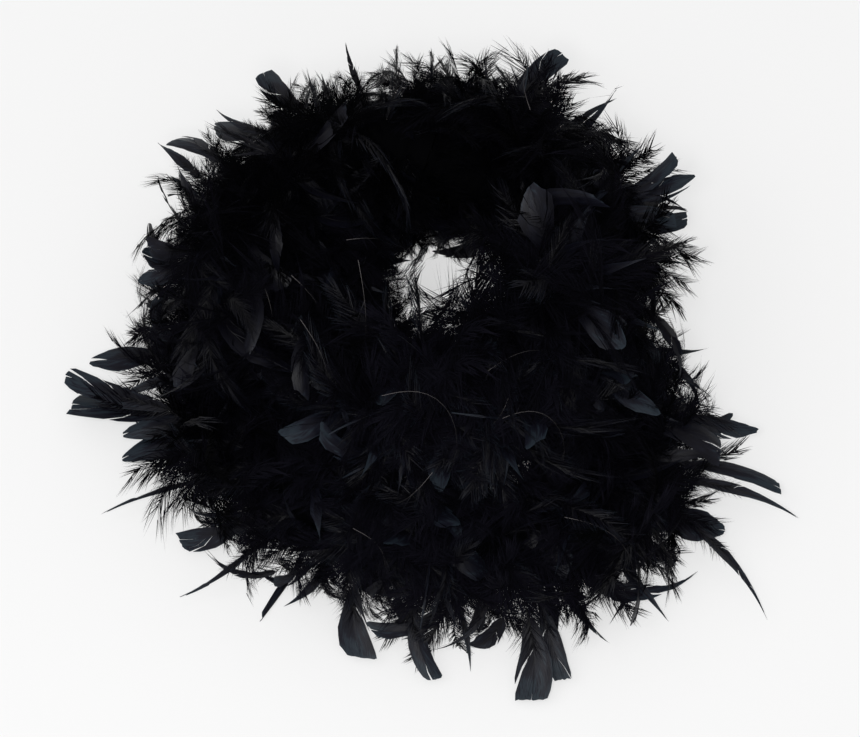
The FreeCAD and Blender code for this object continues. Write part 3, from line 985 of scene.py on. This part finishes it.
# Feathers that stand out: section, place along it, tip, width, droop in degrees, kind (millimetres)
standingFeathers = [
    (1, -40, (-226, 132, 56), 18, 34, "point"), (1, -30, (-222, 108, 34), 12, 20, "point"),
    (1, -10, (-248, 70, 34), 30, 24, "round"), (1, 10, (-249, 42, 26), 16, 20, "point"),
    (2, -30, (-312, -46, 28), 26, 40, "square"), (2, -14, (-307, -70, 20), 34, 20, "square"),
    (1, 50, (-272, -74, 34), 18, 40, "point"),
    (2, -24, (-262, -104, 32), 26, 24, "round"), (2, -5, (-262, -122, 22), 34, 20, "round"),
    (2, 12, (-280, -170, 12), 12, 20, "point"), (2, 30, (-212, -196, 14), 26, 24, "square"),
    (2, 42, (-211, -245, 8), 12, 22, "point"),
    (3, -45, (-125, -256, 14), 18, 24, "point"), (3, -22, (-58, -300, 8), 40, 24, "square"),
    (3, 0, (-16, -288, 12), 13, 24, "point"), (3, 18, (4, -320, 8), 22, 24, "square"),
    (3, 40, (34, -315, 8), 11, 20, "point"),
    (4, -50, (85, -338, 6), 42, 24, "square"), (4, -28, (112, -320, 8), 22, 20, "square"),
    (4, -8, (152, -288, 10), 20, 24, "point"), (4, 12, (201, -269, 12), 20, 24, "point"),
    (4, 4, (226, -222, 8), 58, 20, "hook"), (4, 56, (285, -266, 6), 16, 12, "point"),
    (4, 42, (316, -178, 18), 18, 26, "point"), (4, 50, (298, -152, 26), 20, 24, "square"),
    (5, -22, (279, -104, 40), 26, 26, "round"), (5, 0, (240, -72, 38), 11, 26, "point"),
    (5, 22, (240, -26, 40), 18, 26, "point"),
    (6, -40, (223, 50, 48), 18, 26, "point"), (6, -20, (222, 92, 52), 24, 28, "square"),
    (6, 0, (228, 126, 50), 14, 24, "point"), (6, 30, (162, 195, 78), 14, 24, "point"),
    (7, -30, (64, 213, 92), 20, 26, "point"), (7, 0, (16, 210, 96), 24, 26, "round"),
    (7, 30, (-89, 192, 82), 14, 24, "point"),
    (10, -18, (-122, -150, 128), 26, 44, "square"), (10, 14, (-58, -182, 118), 22, 40, "point"),
    (11, -16, (8, -196, 120), 26, 42, "round"), (11, 16, (78, -190, 130), 20, 40, "point"),
    (12, -10, (192, -128, 126), 24, 42, "round"), (12, 16, (196, -62, 146), 18, 40, "point"),
    (13, -10, (208, 46, 140), 22, 32, "square"), (13, 14, (182, 118, 142), 16, 28, "point"),
    (14, -10, (114, 218, 118), 26, 30, "square"), (14, 10, (84, 190, 176), 16, 28, "point"),
    (15, -14, (-80, 152, 166), 18, 30, "point"), (15, 4, (-143, 187, 140), 28, 30, "square"),
    (15, 20, (-184, 164, 118), 16, 28, "point"),
    (16, -34, (-222, 148, 92), 24, 30, "square"), (15, 36, (-186, 160, 96), 26, 30, "round"),
    (14, -30, (160, 182, 120), 14, 30, "point"), (13, 4, (226, 98, 120), 26, 30, "round"),
    (13, 20, (210, 114, 126), 20, 30, "square"), (4, 34, (250, -188, 20), 40, 24, "round"),
    (1, 40, (-292, -36, 32), 34, 24, "round"),
    (16, -20, (-234, 142, 96), 20, 34, "point"), (16, 4, (-248, 8, 100), 22, 34, "round"),
]


def standingFeather(section, place, tip, width, droop, kind):
    run = 2 * section - 1
    way = (routePoints[run + 1] - routePoints[run]).normalized()
    root = middle(run) + way * place / 1000
    chord = Vector(tip) / 1000 + coil["boxShift"] - root
    name = "standing_%02d_%d_%d" % (section, place, width)
    dice = random.Random(name)
    sickle = -1.0 if kind == "hook" else dice.uniform(-0.35, 0.35)
    spec = featherSpec("point" if kind == "hook" else kind, 1.0, 0.8 * width / 1000,
                       droop=math.radians(droop), twist=dice.uniform(-0.4, 0.4),
                       rows=12, fade=1.0, sickle=sickle, downBarbs=130, barbWidth=0.0006,
                       downTo=0.66, mess=11, downReach=0.012 + 0.45 * width / 1000)
    reached = bendFeather(spec, Vector((0, 1, 0)))
    spec["length"] = chord.length / reached.length
    straighten = reached.rotation_difference(Vector((0, 1, 0))).to_matrix().to_4x4()
    return placeCopy(makeFeather(name, spec), featherMatrix(root, chord, Vector((0, 0, 1))) @ straighten)


# Bare pale shafts that lie on top: section, from, to, how far they bow sideways (millimetres, radians)
bareShafts = [
    (10, (-40, -134, 176), (8, -196, 148), 1.3), (10, (2, -192, 150), (-30, -216, 136), 0.2),
    (11, (46, -112, 174), (104, -86, 164), 0.3), (10, (-108, -64, 176), (-84, -118, 164), 0.2),
    (9, (-138, -30, 164), (-132, -54, 158), 0.1), (9, (-116, -22, 174), (-94, -46, 168), 0.1),
    (4, (112, -214, 108), (174, -254, 76), 0.5), (13, (84, 108, 228), (80, 152, 222), 0.2),
    (9, (-70, 8, 180), (-40, 12, 174), 0.1), (12, (66, -130, 168), (50, -154, 158), 0.2),
    (14, (150, 160, 134), (164, 184, 130), 0.1), (3, (-64, -226, 112), (-36, -256, 80), 0.5),
    (11, (60, -150, 166), (110, -180, 140), 1.1), (9, (-60, -12, 182), (-54, -82, 172), 0.1),
]


def bareShaft(section, start, end, bow):
    root = Vector(start) / 1000 + coil["boxShift"]
    chord = Vector(end) / 1000 + coil["boxShift"] - root
    mesh = bareQuill("shaft_%02d_%d" % (section, start[0]), chord.length * (1 + bow * bow / 12), 0.3, bow)
    reached = Vector((mesh.vertices[-1].co.x, mesh.vertices[-1].co.y, 0))
    straighten = reached.rotation_difference(Vector((0, 1, 0))).to_matrix().to_4x4()
    return placeCopy(mesh, featherMatrix(root, chord, Vector((0, -0.4, 1))) @ straighten)


def makeFlats(section, dice):
    path = finePath[section]
    flats = [standingFeather(*row) for row in standingFeathers if row[0] == section]
    flats += [bareShaft(*row) for row in bareShafts if row[0] == section]
    for _ in range(fluff["flatCount"]):
        i = dice.randrange(len(path))
        along, out = featherLie(dice, section, path[i], tangentAt(path, i), 1.5)
        root = path[i] + out * dice.uniform(0.002, 0.014)
        upSide = out + Vector((0, 0, 0.5)) + Vector([dice.uniform(-0.6, 0.6) for _ in range(3)])
        size = dice.uniform(*fluff["flatSize"]) * reachOf(section, i / len(path), path[i], out)
        matrix = featherMatrix(root, along, upSide, size, dice.uniform(0.85, 1.2))
        if not crossesHole(matrix, templateSizes["flatLength"]):
            flats.append(placeCopy(pickByToneAndFrontLight(dice, flatTemplates[dice.choice(flatKinds)], root), matrix))
    piece = joinPieces("flatFeathers_%02d" % section, flats)
    finishPiece(piece, vanePaint, sectionBody[section], "feathers_%02d" % section, "flat_feathers")


for section in range(1, sectionCount + 1):
    makeDown(section, random.Random(100 + section))
    makeFlats(section, random.Random(200 + section))
    faces = [len(bpy.data.objects[name % section].data.polygons) for name in ("down_%02d", "flatFeathers_%02d")]
    print("section", section, "of", sectionCount, "done:", faces[0], "down faces,", faces[1], "feather faces")

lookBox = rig.bounds()
json.dump({"cad": [list(c) for c in cadBox], "visual": [list(c) for c in lookBox]},
          open("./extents.json", "w"))
